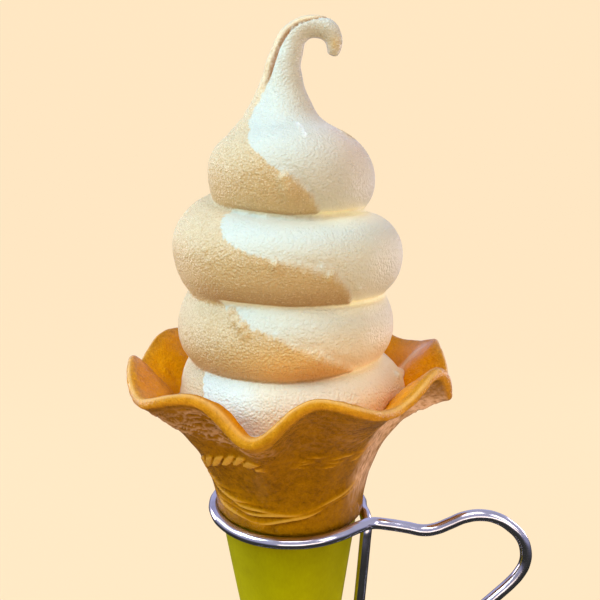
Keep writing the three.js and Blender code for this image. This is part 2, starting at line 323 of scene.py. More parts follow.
def lean(height):
    """The cone leans a little, so its tip is to the right of the cup's middle."""
    return -0.018 * np.minimum(height, 0)


def sleeve_top(angle):
    """Height of the sleeve's upper edge, which is pushed up further on the front left."""
    return 0.3 - 0.65 * np.cos(angle) - 0.1 * np.sin(angle) + 0.12 * np.sin(3 * angle)


SLEEVE_AROUND, SLEEVE_ROWS = 180, 60


def sleeve_place(column, row):
    share = column / SLEEVE_AROUND
    angle = np.radians(90 - LAP_ANGLE / 2 + share * (360 + LAP_ANGLE))
    height = SLEEVE_BOTTOM + (sleeve_top(angle) - SLEEVE_BOTTOM) * row / (SLEEVE_ROWS - 1)
    lapped = np.clip((share - 1 + 2 * LAP_ANGLE / 360) / (LAP_ANGLE / 360), 0, 1)
    buckle = 0.06 * np.sin(5 * angle + height / 9) + 0.05 * np.sin(2 * angle - height / 14)
    radius = sleeve_radius(height) - SLEEVE_CARD + buckle + lapped * (SLEEVE_CARD + 0.06)
    return np.column_stack((radius * np.cos(angle) + lean(height), radius * np.sin(angle), height))


sleeve = lay_sheet("sleeve_card", SLEEVE_AROUND, SLEEVE_ROWS, sleeve_place)
apply_modifier(sleeve, "SOLIDIFY", thickness=SLEEVE_CARD / 1000, offset=1)
select_only(sleeve)
bpy.ops.object.shade_smooth_by_angle(angle=math.radians(40))

paper = Recipe("green_card")
here = paper.place()
fibres = paper.speckle(0.6, paper.place((1, 1, 0.35)), 3)
mottle = paper.speckle(7, here, 3)
# Painted shade: the card is darkest at its top, in the shadow of the hoop, and lighter further down.
lower = paper.node("ShaderNodeSeparateXYZ", None, {0: here}, "Z").between(96, 62) * 0.7 + 0.15
green_card = paper.finish({
    "Base Color": paper.colour((mottle * 0.3 + fibres * 0.2 + lower).clamped(), srgb(134, 128, 0), srgb(172, 168, 0)),
    "Roughness": mottle * 0.06 + 0.5,
    "Specular IOR Level": 0.05,
    "Specular Tint": (1, 1, 0.1, 1),
    "Normal": paper.bump(fibres * 0.008 + mottle * 0.03),
})
finish_piece(sleeve, green_card, "paper", "paper_sleeve")


# ==== Wafer cone ====
# Baked from a thin sweet batter between hot irons and moulded into a cup with a wavy rim of petals. The wall
# is about 2 mm thick with a rounded golden lip, and the irons leave a band of slanted lozenges and shallow ridges.
LIP_RADIUS, LIP_HEIGHT = 42.5, 40.2
LIP_THICK, WALL_THICK = 2.4, 1.7
FLARE_START = 4
HEIGHT_WAVES = ((1, 0.6, 80), (2, 0.8, -17), (4, 1.8, 27), (7, 0.6, 25), (8, 3.1, 10), (9, 0.2, 20),
                (11, 0.2, -4), (12, 0.7, 2))
RADIUS_WAVES = ((1, 2.6, 95), (2, 0.5, -3), (3, 0.7, 33), (4, 1.3, 31), (5, 0.4, 5), (6, 0.6, -18), (7, 0.2, 20),
                (8, 0.3, -14), (10, 0.3, 5), (11, 0.3, -5), (12, 0.35, -10))
# Single dents and bulges of the lip: direction, spread, and how far out and up.
LIP_TOUCHES = ((336, 9, 1.7, 1.4), (347, 6, 0.7, -0.9), (353, 6, -0.5, 0), (23, 10, -0.9, -0.2), (8, 9, -1.2, -0.4), (30, 16, 0, -0.5),
               (188, 10, -0.2, -1.4), (212, 24, -0.1, -0.5), (172, 9, 0, -0.4), (145, 12, 0, -0.4))
WAFER_AROUND = 440
FLARE_ROWS, LIP_ROWS, INNER_ROWS = 92, 9, 46


def waves(table, angle):
    return sum(size * np.cos(count * (angle - math.radians(crest))) for count, size, crest in table)


def away_from(angle, direction):
    """Degrees from a direction, -180 to 180, of angles in radians."""
    return (np.degrees(angle) - direction + 540) % 360 - 180


def foot_bulge(angle):
    """How much further out the foot of the flare stands on the right."""
    return 0.4 * np.exp(-((away_from(angle, -8) / 40) ** 2))


def flare(angle, share):
    """Middle of the wall at a share of the way up the flare: radius and height."""
    lip = [LIP_RADIUS + waves(RADIUS_WAVES, angle), LIP_HEIGHT + waves(HEIGHT_WAVES, angle)]
    for place, spread, out, up in LIP_TOUCHES:
        near = np.exp(-((away_from(angle, place) / spread) ** 2))
        lip[0] = lip[0] + out * near
        lip[1] = lip[1] + up * near
    start = (19.35 + foot_bulge(angle), FLARE_START)
    bend = (start[0] + 1.6, start[1] + 10.5)
    spread = 0.32 - 0.06 * np.cos(angle)
    fullness = 0.72 + 0.1 * np.exp(-((away_from(angle, 345) / 25) ** 2))
    reach = (start[0] + spread * (lip[0] - start[0]), start[1] + fullness * (lip[1] - start[1]))
    back = 1 - share
    return [back**3 * a + 3 * back**2 * share * b + 3 * back * share**2 * c + share**3 * d
            for a, b, c, d in zip(start, bend, reach, lip)]


def half_thick(share):
    return (WALL_THICK + (LIP_THICK - WALL_THICK) * share**9) / 2


def grains(points, size, seed):
    """Smooth noise from about -1 to 1 at each point, with lumps of a size in millimetres."""
    shift = Vector((seed * 7.31, seed * 3.17, seed * 5.73))
    return np.array([noise.noise(Vector(point) / size + shift) for point in points])


def step(x, low, high):
    t = np.clip((x - low) / (high - low), 0, 1)
    return t * t * (3 - 2 * t)


def iron_marks(angle, height):
    """Raised marks that the irons leave on the outside, in millimetres: the lozenge band and the ridges under it."""
    run = 27 * angle
    marks = np.zeros(len(angle))
    # The mould's two halves leave the same marks; each is pressed best on its left.
    for front in (258, 78):
        away = away_from(angle, front)
        middle = 23.8 - 0.0025 * np.minimum(away, 0) ** 2 - 0.06 * np.maximum(away + 14, 0)
        fade = step(away, -60, -46) * step(-away, -4, 6)
        slant = (run - 1.2 * (height - middle)) / (27 * math.radians(8)) + 0.125
        from_middle = ((slant % 1 - 0.5) / 0.42) ** 4 + ((height - middle) / 1.65) ** 4
        marks += 0.6 * fade * step(-from_middle, -1, -0.35)
        # Fine level creases carry the band on to the right.
        creases = step(away, 0, 22) * step(-away, -80, -60)
        middle = 23.6
        for lift in (-1.6, -0.5, 0.7, 1.5):
            line = middle + lift + 0.35 * np.sin(run * 0.35 + 3 * lift)
            marks += 0.45 * creases * np.exp(-(((height - line) / 0.3) ** 2)) * (0.5 + 0.5 * np.sin(run * 0.8 + 5 * lift))
        # Long shallow arcs under it, lowest at the front left.
        for arc in range(5):
            line = 4.6 + 1.75 * arc + 0.0016 * (away + 10) ** 2 + 0.45 * np.sin(away / 15 + 2.1 * arc)
            line += 0.22 * np.sin(away / 5.5 + 1.3 * arc)
            reach = step(away, -62, -42) * (step(-away, -78, -52) if arc < 2 else step(-away, 14 * arc - 50, 14 * arc - 20))
            ridge = 0.72 * np.exp(-(((height - line) / 0.45) ** 2)) - 0.3 * np.exp(-(((height - line + 0.85) / 0.35) ** 2))
            marks += reach * ridge * step(height, 1.6, 3.0) * (0.65 + 0.35 * np.sin(away / 9 + 1.9 * arc))
    return marks


def skin_cells(points):
    """Scales of baked batter, long along the wall, with sunk cracks between them: 0 in a crack and 1 on a scale."""
    across = points / (3.2, 3.2, 1.5)
    across += 0.25 * grains(across, 0.8, 11)[:, None]
    nearest = [noise.voronoi(Vector(point))[0] for point in across]
    return step(np.array([second - first for first, second, *_ in nearest]), 0.0, 0.23)


wafer_angle = np.linspace(0, 2 * math.pi, WAFER_AROUND + 1)
rows, facings, kinds = [], [], []


def add_row(points, facing, kind):
    rows.append(points)
    facings.append(facing)
    kinds.append(kind)


def ring(radius, height):
    """Points at a radius and height in every direction."""
    radius, height = radius + 0 * wafer_angle, height + 0 * wafer_angle
    return np.stack((radius * np.cos(wafer_angle) + lean(height), radius * np.sin(wafer_angle), height), -1)


def unit(vectors):
    return vectors / np.linalg.norm(vectors, axis=-1, keepdims=True)


flat_out = ring(1, 0) * (1, 1, 0)
for radius, height in ((0, -86), (3, -86), (4.2, -85.6), (4.7, -84.8), (7.4, -70), (12.3, -40), (15.4, -20),
                       (17.1, -10), (17.9, -5), (18.2, -3)):
    add_row(ring(radius, height), flat_out, "cone")
# The foot of the flare bulges over the sleeve's edge: radius, and height above that edge.
for radius, rise in ((18.5, -0.8), (18.7, -0.2), (18.95, 0.1), (19.45, 0.25), (19.85, 0.5), (20.05, 0.85), (20.15, 1.3)):
    add_row(ring(radius + foot_bulge(wafer_angle), sleeve_top(wafer_angle) + rise), flat_out, "cone")
shares = np.linspace(0, 1, FLARE_ROWS)
wall = np.array([ring(*flare(wafer_angle, share)) for share in shares])
loop = np.pad(wall[:, :-1], ((0, 0), (1, 2), (0, 0)), mode="wrap")
around = unit(loop[:, 2:] - loop[:, :-2])
outward = unit(np.cross(around, np.gradient(wall, axis=0)))
edgeward = np.cross(outward, around)
swell = 0.45 * np.exp(-((away_from(wafer_angle, 338) / 10) ** 2))[:, None]
for i, share in enumerate(shares):
    add_row(wall[i] + half_thick(share) * (1 + swell * share**9) * outward[i], outward[i], "outside")
# The lip is folded over double where it drops to the front notch.
fold = (1.5 * np.exp(-((away_from(wafer_angle, 249) / 9) ** 2)))[:, None]
for i in range(1, LIP_ROWS):
    turn = math.pi * i / LIP_ROWS
    facing = math.cos(turn) * outward[-1] + math.sin(turn) * edgeward[-1]
    inward = min(math.cos(turn), 0) * fold * outward[-1]
    add_row(wall[-1] + half_thick(1) * (facing * (1 + swell) + inward), facing, "lip")
for i in range(FLARE_ROWS - 1, -1, -2):
    inward = half_thick(shares[i]) * (1 + fold * step(shares[i], 0.82, 1) + swell * shares[i] ** 9)
    add_row(wall[i] - inward * outward[i], -outward[i], "inside")
for radius, height in ((18, 0), (16.6, -10), (10.5, -45), (4, -84), (0, -84.2)):
    add_row(ring(radius, height), flat_out, "well")
WAFER_ROWS = len(rows)
wafer_rows, wafer_facings, wafer_kinds = np.array(rows), np.array(facings), np.array(kinds)
OUTSIDE_FIRST = kinds.index("outside")
wafer_relief_shading, wafer_highlights = [], []  # filled for each corner while the sheet is laid


def wafer_place(column, row):
    points, facing, kind = wafer_rows[row, column], wafer_facings[row, column], wafer_kinds[row]
    height = points[:, 2]
    angle = wafer_angle[column]
    broad = grains(points, 7, 1)
    fine = grains(points, 2.6, 2)
    crackle = grains(points * np.array((1, 1, 0.45)), 1.5, 3)
    outside = kind == "outside"
    marks = np.zeros(len(angle))
    marks[outside] = iron_marks(angle[outside], height[outside])
    cells = np.ones(len(angle))
    cells[outside] = skin_cells(points[outside])
    scaly = step(height, 26, 30) * (0.55 + 0.45 * np.clip(1.5 * broad, -1, 1)) * outside
    scaly *= 1 - 0.85 * np.exp(-((away_from(angle, 284) / 32) ** 4))
    scaly *= 1 - step(row, OUTSIDE_FIRST + 0.9 * FLARE_ROWS, OUTSIDE_FIRST + 0.97 * FLARE_ROWS)
    push = 0.22 * broad + 0.11 * fine * (1 - np.clip(2 * marks, 0, 1)) + marks
    push += scaly * (0.5 * (1 - cells) + 0.16 * crackle)
    push += np.where(kind == "inside", 0.4 * grains(points, 5, 8) + 0.1 * fine + 0.05 * crackle, 0)
    push += np.where(kind == "lip", 0.06 * crackle, 0)
    from_arc = np.linalg.norm(points - (-33, 13.5, 36.3), axis=1) - 3.3
    push += 0.35 * np.exp(-((from_arc / 0.35) ** 2)) * (kind == "inside") * (points[:, 0] < -33.5)
    push *= step(height, -6, 1) * (kind != "well")
    # Painted light and shade of the iron marks, lighter on the raised marks and darker in the valleys beside the arcs;
    # the flare is also made lighter towards its foot.
    wafer_relief_shading.extend(marks / 0.5 + 0.3 * step(-height, -13, -3) * outside)
    streaks = 0.75 + 0.8 * grains(points * (1.6, 1.6, 0.35), 1.2, 12)
    # Painted sheen: pale streaky highlights down the right of the wall and under the right petal's lip.
    sheen = np.exp(-((away_from(angle, 332) / 16) ** 4)) * step(height, 4, 14) * step(-height, -37, -32)
    sheen += 0.8 * np.exp(-((away_from(angle, 348) / 9) ** 2)) * step(height, 31, 36)
    sheen *= streaks
    # The raised lines between the scales are painted as highlights too.
    wafer_highlights.extend(0.85 * scaly * (1 - cells) + 1.2 * np.clip(sheen, 0, 1) * outside)
    return points + push[:, None] * facing


wafer = lay_sheet("wafer_cup", WAFER_AROUND, WAFER_ROWS, wafer_place)


def give_attribute(piece, name, values):
    attribute = piece.data.attributes.new(name, "FLOAT", "POINT")
    attribute.data.foreach_set("value", np.asarray(values, np.float32))


def read_corners(piece):
    """The corners of a piece in millimetres about the cone's axis."""
    corners = np.empty(len(piece.data.vertices) * 3)
    piece.data.vertices.foreach_get("co", corners)
    return (corners.reshape(-1, 3) - np.array(AXIS)) * 1000


wafer_row, wafer_column = np.divmod(np.arange(len(wafer.data.vertices)), WAFER_AROUND + 1)
from_rim = wafer_row - int(np.argmax(wafer_kinds == "lip")) - (LIP_ROWS - 1) / 2
folded = (fold[:, 0] / fold.max())[wafer_column]
notch = np.exp(-((away_from(wafer_angle, 259) / 15) ** 2))[wafer_column]
lip = step(from_rim, -6.5 - 9 * notch, -3.5 - 5 * notch) * step(-from_rim, -6.5, -3.5)
give_attribute(wafer, "lip", lip * (1 - folded * step(from_rim, 0.3, 1.6)))
low_lip = np.exp(-((away_from(wafer_angle, 258) / 20) ** 2))[wafer_column]
# Painted highlight: a pale line along the inner top edge of the lip, lower and narrower at the front notch and left
# out where the lip swells.
crest = np.exp(-(((from_rim - 0.5 - 0.9 * low_lip) / (0.9 - 0.25 * low_lip)) ** 2))
give_attribute(wafer, "crest", crest * (1 - swell[:, 0] / 0.45)[wafer_column])
# Painted shade: the outer face of the lip is darker and more olive where it dips to the front notch.
give_attribute(wafer, "low_lip", low_lip * step(-from_rim, -0.5, 2))
give_attribute(wafer, "inside", step(from_rim, -2, 2))
# Painted shade in the fold at the front of the lip: a dark line along it, and its inner part darker.
give_attribute(wafer, "relief_shading", wafer_relief_shading - folded * (np.exp(-(((from_rim - 1.8) / 0.7) ** 2)) + 0.5 * step(from_rim, 1, 2)))
give_attribute(wafer, "painted_highlights", wafer_highlights)
wafer_points = read_corners(wafer)
# Melted cream smeared up the inside of the right petal; its upper end also stands for a painted highlight on the
# petal.
smear_start, smear_end = np.array((30, 9, 36)), np.array((38, 13, 39.5))
smear_run = smear_end - smear_start
along = np.clip((wafer_points - smear_start) @ smear_run / (smear_run @ smear_run), 0, 1)
from_smear = np.linalg.norm(wafer_points - smear_start - along[:, None] * smear_run, axis=1)
give_attribute(wafer, "smear_and_sheen", 1.2 * np.exp(-((from_smear / 4.6) ** 2)) * (1 - 0.3 * along))
tidy_faces(wafer)

crust = Recipe("golden_crust")
here = crust.place()
lip = crust.attribute("lip")
inside = crust.attribute("inside")
relief_shading = crust.attribute("relief_shading")
blotch = crust.speckle(6, here, 3, 0.6)
toast = crust.speckle(1.4, here, 3, 0.6)
pores = crust.speckle(0.45, here, 2)
depth = (blotch * 0.25 + toast * 0.34 + pores * 0.25 + relief_shading * 0.6 + 0.45).clamped()
# The wall outside, the inside of the cup and the lip are one batter in three colours: partly its own browning, partly
# painted light and shade, darker on the wall that faces down and brighter inside and on the lip, which face the light.
wall = crust.colour(depth, srgb(78, 42, 0), srgb(190, 128, 0))
# Painted highlights on the tops of the raised iron marks.
wall = crust.colour(relief_shading.between(0.45, 1.1) * 0.5, wall, srgb(218, 170, 76))
# Painted highlights on the scales' raised lines, and the painted sheen on the right.
wall = crust.colour((crust.attribute("painted_highlights") * 0.9).clamped(), wall, srgb(230, 184, 152))
cup = crust.colour(depth, srgb(202, 118, 0), srgb(255, 174, 6))
rim_colour = crust.colour(depth, srgb(166, 100, 2), srgb(244, 172, 46))
# Painted highlight along the crest of the lip.
rim_colour = crust.colour(crust.attribute("crest") * 0.65, rim_colour, srgb(252, 206, 132))
# Painted shade on the lip at the front notch.
rim_colour = crust.colour(crust.attribute("low_lip") * 0.7, rim_colour, crust.colour(depth, srgb(140, 92, 0), srgb(206, 146, 20)))
smear_and_sheen = crust.attribute("smear_and_sheen")
crust_colour = crust.colour(lip, crust.colour(inside, wall, cup), rim_colour)
smear_and_sheen_share = ((smear_and_sheen + blotch * 0.25) * 1.4 - 0.3).clamped()
crackle = crust.speckle(1.1, crust.place((1, 1, 0.5)), 3, 0.6, 0.8)
golden_crust = crust.finish({
    "Base Color": crust.colour(smear_and_sheen_share * 0.95, crust_colour, srgb(250, 212, 180)),
    "Roughness": blotch * 0.08 + pores * 0.06 + lip * 0.04 + 0.2,
    "Specular IOR Level": 0.26,
    "Specular Tint": (1, 0.6, 0.04, 1),
    "Normal": crust.bump(crackle * 0.19 + toast * 0.13 + pores * (lip * 0.08 + 0.08)),
})
finish_piece(wafer, golden_crust, "wafer", "wafer_cone")


# ==== Soft serve ====
# A rope of half vanilla and half caramel cream, laid from a star-less round nozzle in three and a half coils that
# shrink as they rise, and drawn off into a neck whose tip has fallen over to the right. The two flavours run side
# by side in the rope, so each coil shows caramel on the left that tapers away under the white at the front.
# Each quarter turn from the right, clockwise from above: height and radius of the rope's bulge, and the radii of
# its section above and below the bulge.
ROPE = (
    (30, 30.5, 11, 12), (31, 30, 11, 12), (32, 29.5, 11, 12), (34, 31, 11, 12),
    (33.4, 31.2, 11, 12), (34, 29.8, 11, 12), (36.8, 28.6, 11, 12), (43.5, 28.6, 12, 12),
    (51.5, 27.6, 17, 11.2), (51.3, 28.5, 15, 11), (51.5, 29.4, 17, 9.8), (61.5, 29.8, 12, 12),
    (70.2, 29.5, 11.4, 12.4), (71.8, 29.5, 8.8, 14.5), (73.5, 30, 11.7, 17.5), (82, 26.5, 12, 12),
    (89.3, 22, 12.8, 11), (90.3, 21.4, 13, 14), (91.8, 20.6, 10.5, 18), (95.5, 17.6, 9, 9), (97.4, 12.5, 8, 8),
)
ROPE_STEPS = 22  # to a quarter turn
# The two strands of the neck, as x, y, height and radius, from the coils up into the hooked tip.
WHITE_NECK = (
    (0, 0, 93, 19), (0, 0, 96, 18), (0, 0, 99, 16), (-0.3, 0, 101.7, 13.7), (-1, -0.1, 103.5, 11.0),
    (-1.2, -0.2, 104.9, 9.3), (-1.2, -0.3, 106.4, 8.0), (-1, -0.4, 109.3, 6.3), (-1.1, -0.5, 112.2, 5.1),
    (-1.1, -0.5, 115.1, 4.45), (-0.9, -0.5, 118, 3.85), (0.2, -0.4, 121, 3.35), (1, -0.3, 124, 3.15),
    (3.4, -0.2, 126.3, 2.85), (6.5, 0, 126.9, 2.7), (9.6, 0, 126.0, 2.6), (11.1, 0, 123.7, 2.2),
    (11.1, 0, 121.5, 1.8), (10.7, 0, 120.0, 1.2),
)
TAN_NECK = (
    (-1, 0, 93, 18.4), (-1.3, 0, 96, 17.5), (-2.5, 0.2, 99, 14.6), (-3.1, 0.3, 102, 11.6), (-3.4, 0.4, 103.5, 10),
    (-3.5, 0.5, 104.9, 8.6), (-3.6, 0.6, 106.4, 7.5), (-3.8, 0.7, 109.3, 5.5), (-3.8, 0.8, 112.2, 4.2),
    (-3.5, 0.8, 115.1, 3.2), (-3.3, 0.7, 118, 2.6), (-2.4, 0.6, 121, 2.1), (-1.5, 0.5, 123.8, 1.8),
    (0.2, 0.4, 126.1, 1.6), (2.5, 0.3, 127.4, 1.5), (5.2, 0.2, 128.2, 1.3), (7.6, 0.1, 128.1, 1.0),
)
CREAM_GRAIN = 0.56  # size of the faces


def smooth_between(table, t):
    """Catmull-Rom value of a table's rows at a place between them."""
    table = np.asarray(table, float)
    t = np.clip(t, 0, len(table) - 1.0001)
    i = int(t)
    f = t - i
    a, b, c, d = (table[min(max(i + k, 0), len(table) - 1)] for k in (-1, 0, 1, 2))
    return b + 0.5 * f * (c - a + f * (2 * a - 5 * b + 4 * c - d + f * (3 * (b - c) + d - a)))


def skin(name, rings):
    """A closed tube through rings of points, with a fan over each end."""
    count = len(rings[0])
    points = [point for ring in rings for point in ring]
    faces = [
        (i * count + j, i * count + (j + 1) % count, (i + 1) * count + (j + 1) % count, (i + 1) * count + j)
        for i in range(len(rings) - 1) for j in range(count)
    ]
    faces.append(tuple(reversed(range(count))))
    last = (len(rings) - 1) * count
    faces.append(tuple(range(last, last + count)))
    mesh = bpy.data.meshes.new(name)
    mesh.from_pydata(in_frame(points).tolist(), [], faces)
    piece = bpy.data.objects.new(name, mesh)
    bpy.context.collection.objects.link(piece)
    tidy_faces(piece)
    return piece


def tuck(quarter):
    """How much the groove over the lowest coil is raised at the front right, in millimetres."""
    return 0.9 * math.exp(-(((quarter - 4.5) / 0.4) ** 2))


def rope_ring(quarter):
    height, radius, above, below = smooth_between(ROPE, quarter)
    above += tuck(quarter)
    below -= tuck(quarter - 4)
    angle = -math.radians(90 * (quarter - 4))
    outline = []
    for turn in np.linspace(0, 90, 13):
        lean = math.radians(turn)
        outline.append((radius - above + above * math.cos(lean), height + above * math.sin(lean)))
    outline.append((5, height + above))
    outline.append((5, height - below))
    for turn in np.linspace(-90, 0, 13)[:-1]:
        lean = math.radians(turn)
        outline.append((radius - below + below * math.cos(lean), height + below * math.sin(lean)))
    return [(r * math.cos(angle), r * math.sin(angle), z) for r, z in outline]


def neck_tube(name, table, sides=40):
    stations = [smooth_between(table, t) for t in np.linspace(0, len(table) - 1, 5 * len(table))]
    rings = []
    for i, (x, y, z, radius) in enumerate(stations):
        before, after = stations[max(i - 1, 0)], stations[min(i + 1, len(stations) - 1)]
        run, rise = (after[0] - before[0]) * step(z, 112, 120), after[2] - before[2]
        length = math.hypot(run, rise)
        rings.append([(x - radius * math.cos(a) * rise / length, y + radius * math.sin(a),
                       z + radius * math.cos(a) * run / length)
                      for a in np.linspace(0, 2 * math.pi, sides, endpoint=False)])
    return skin(name, rings)


def drum(name, radius, low, high):
    bpy.ops.mesh.primitive_cylinder_add(vertices=96, radius=radius / 1000, depth=(high - low) / 1000,
                                        location=in_frame((0, 0, (low + high) / 2)))
    return new_piece(name)


def blob(place, radius):
    bpy.ops.mesh.primitive_ico_sphere_add(subdivisions=3, radius=radius / 1000, location=in_frame(place))
    return new_piece("blob")


rope = skin("rope", [rope_ring(q) for q in np.linspace(0.5, len(ROPE) - 1, int(ROPE_STEPS * (len(ROPE) - 1.5)))])
parts = [rope, drum("core", 15, 20, 92), drum("fill", 31, 22, 31)]
parts += [neck_tube("white_neck", WHITE_NECK), neck_tube("tan_neck", TAN_NECK)]


def rope_surface(degrees, height):
    """Radius of the coils' outside at a direction and height."""
    quarter = 4 - degrees / 90
    best = 0
    for turn in range(-1, 6):
        q = quarter + 4 * turn
        if not 0 <= q <= len(ROPE) - 1:
            continue
        z, radius, above, below = smooth_between(ROPE, q)
        reach = above if height > z else below
        if abs(height - z) < reach:
            best = max(best, radius - reach + math.sqrt(reach**2 - (height - z) ** 2))
    return best


# Small lumps where the caramel breaks up along its upper edge, and of white cream beyond it and on the right petal.
CARAMEL_LUMPS = (
    (267.6, 90.2, 1.7), (271.4, 88.9, 1.5), (270.6, 86.9, 1.6), (269.4, 88.2, 1.9), (274, 87.8, 1.1), (264.4, 71.6, 1.1), (266.3, 70.5, 0.8),
    (288.6, 68.9, 1.5), (291.4, 67.5, 1.2), (229.7, 74.3, 0.7), (232.1, 71.8, 0.6), (239.3, 59.4, 1), (242.8, 57.8, 1.2),
    (247, 56.6, 1.3), (249.6, 55.2, 1), (284.5, 49.6, 0.9), (282.4, 50.7, 0.6),
)
WHITE_LUMPS = (
    (281.1, 87.4, 0.7), (284.6, 85, 0.7), (284.8, 71, 0.8), (294.4, 67.9, 0.8), (305.2, 65.4, 0.8), (301.8, 65.6, 0.6),
    (264.5, 55.2, 0.6), (345, 39.5, 1.3), (8, 35.5, 2.8), (17, 34, 2.6),
)
lump_places = []
for degrees, height, size in CARAMEL_LUMPS + WHITE_LUMPS:
    reach = rope_surface(degrees, height) - 0.3 * size
    angle = math.radians(degrees)
    lump_places.append((reach * math.cos(angle), reach * math.sin(angle), height))
    parts.append(blob(lump_places[-1], size))

cream = join(parts, "soft_serve")
apply_modifier(cream, "REMESH", mode="VOXEL", voxel_size=CREAM_GRAIN / 1000, adaptivity=0)
apply_modifier(cream, "SMOOTH", factor=0.5, iterations=2)

spots = read_corners(cream)
angle = np.arctan2(spots[:, 1], spots[:, 0])
degrees = np.degrees(angle) % 360
radius = np.hypot(spots[:, 0], spots[:, 1])
height = spots[:, 2]

# How far each spot is inside the caramel, in millimetres. Edges of the caramel on a coil: where it opens at the
# back, from the upper groove down to the lower, and where the white covers it at the front.
GROOVES = (24, 23, 24, 32, 44, 42.8, 43.8, 51.5, 60.7, 61.4, 63.4, 72, 82.3, 81.8, 84.8, 92)
FRONT_EDGES = (
    ((205, 46), (214, 44.5), (219, 41.4), (223.5, 38.4), (225, 34), (226, 24)),
    ((222, 65), (236, 59.8), (241, 58.9), (247, 57), (255, 56.1), (261, 55.2), (271, 53.3), (282, 50.5),
     (293, 48.3), (303, 46.3), (314, 43)),
    ((218, 88), (224, 83.4), (233, 79.9), (238, 77.2), (246, 75.2), (253, 73.9), (262, 72.9), (279, 71.1),
     (288, 70), (295, 67.4), (300, 65.1), (304, 62.7), (309, 60)),
)
BACK_OPENS, BACK_FULL = 50, 130
TOP_EDGE = ((80, 296), (84.3, 290), (86.7, 285), (88.3, 280), (90.1, 274), (91.9, 266), (93.4, 258), (95.7, 251),
            (97.5, 243), (100.3, 234), (103.4, 226), (106.6, 226), (109.5, 229), (113, 234), (117, 237))


def groove_height(quarter):
    return np.interp(quarter, range(len(GROOVES)), GROOVES) + 0.9 * np.exp(-(((quarter - 4.5) / 0.4) ** 2))


def caramel_depth():
    quarter = 4 - degrees / 90
    layers = []
    for coil in range(3):
        low = groove_height(quarter + 4 * coil)
        high = groove_height(quarter + 4 * coil + 4)
        white_edge = np.interp(degrees, *zip(*FRONT_EDGES[coil]), left=999, right=-999)
        opening = low + (high - low) * np.clip((BACK_FULL - degrees) / (BACK_FULL - BACK_OPENS), 0, 1)
        from_back = np.where(degrees < 180, (height - opening) * 0.85, 9)
        layers.append(np.clip(np.minimum((white_edge - height) * 0.85, from_back), -9, 9))
    front = np.interp(height, *zip(*TOP_EDGE))
    back = np.interp(height, (84, 92, 100, 110, 120), (130, 105, 70, 58, 57))
    across = np.minimum(degrees - back, front - degrees) * np.radians(1) * np.maximum(radius, 3)
    layers.append(np.clip(across, -9, 9))
    inside = layers[0]
    for coil, layer in enumerate(layers[1:], 1):
        share = np.clip((height - groove_height(quarter + 4 * coil)) / 1.2 + 0.5, 0, 1)
        most = np.where((share > 0) & (share < 1), 1, 9)
        inside = np.clip(inside, -most, most) * (1 - share) + np.clip(layer, -most, most) * share
    return inside


# Left edge of the white on the front of the neck, as height and x; behind, the caramel reaches further right.
NECK_EDGE = ((100, -10.6), (103.4, -10), (106.6, -8.7), (109.5, -6.9), (113, -5.3), (116.8, -4), (121.7, -2.4),
             (124, -0.9), (126, 0.9), (127.3, 2.9), (128.2, 5.6), (128.8, 8.4), (129.4, 11))
tan = caramel_depth()
reach = np.interp(height, (100, 104, 109, 113, 118, 124), (14, 9, 6.3, 5, 3.7, 3))
left_of_edge = np.interp(height, *zip(*NECK_EDGE)) - spots[:, 0] + 1.1 * np.maximum(spots[:, 1] + 0.55 * reach, 0)
tan = np.where(height > 101, tan + (left_of_edge - tan) * step(height, 101, 103.5), tan)
split = step(height, 111, 116) * (spots[:, 1] < 1)
groove = split * np.exp(-(((tan - 0.55) / 0.6) ** 2))
split = split * np.exp(-(((tan - 0.7) / 0.75) ** 2))
for place, (_, _, size) in zip(lump_places, CARAMEL_LUMPS):
    tan = np.maximum(tan, size + 0.5 - np.linalg.norm(spots - place, axis=1))
# The caramel's last end shows on the right shoulder.
tan = np.maximum(tan, 3.3 - np.linalg.norm((spots - (14.6, 0, 101)) * (1, 0.45, 1), axis=1))
tan = np.clip(tan, -9, 9)
give_attribute(cream, "caramel", tan)
from_groove = np.min([np.abs(height - groove_height(4 - degrees / 90 + 4 * coil)) for coil in range(1, 4)], axis=0)
crease = np.exp(-((from_groove / 0.7) ** 2)) * (height > 38) * (height < 90)
give_attribute(cream, "crease", crease * step(degrees, 212, 240))
give_attribute(cream, "halo", np.exp(-((from_groove / 1.8) ** 2)) * (height > 38) * step(degrees, 282, 305))
give_attribute(cream, "glow", crease * step(degrees, 200, 225) * (0.5 + 0.5 * step(degrees, 275, 300)))
# Painted warm light on each coil just under the groove above it, at the front.
eave = np.max([np.exp(-(((groove_height(4 - degrees / 90 + 4 * coil) - height - 1.2) / 1.6) ** 2)) for coil in range(1, 4)], axis=0)
give_attribute(cream, "eave", eave * step(degrees, 235, 285) * (height > 38))
# Painted shade on the caramel of a coil's underside, just above the groove under it, at the front.
over_groove = height - groove_height(8 - degrees / 90 + 4)
under = step(-over_groove, -6.5, -0.5) * (over_groove > -1)
give_attribute(cream, "under", under * step(degrees, 195, 235))
# Painted light: the lowest coil, deep in the cup, is made lighter, and bluish white on its left.
low = step(-height, -46, -40)
give_attribute(cream, "low", low)
give_attribute(cream, "low_left", low * step(-spots[:, 0], 4, 13))

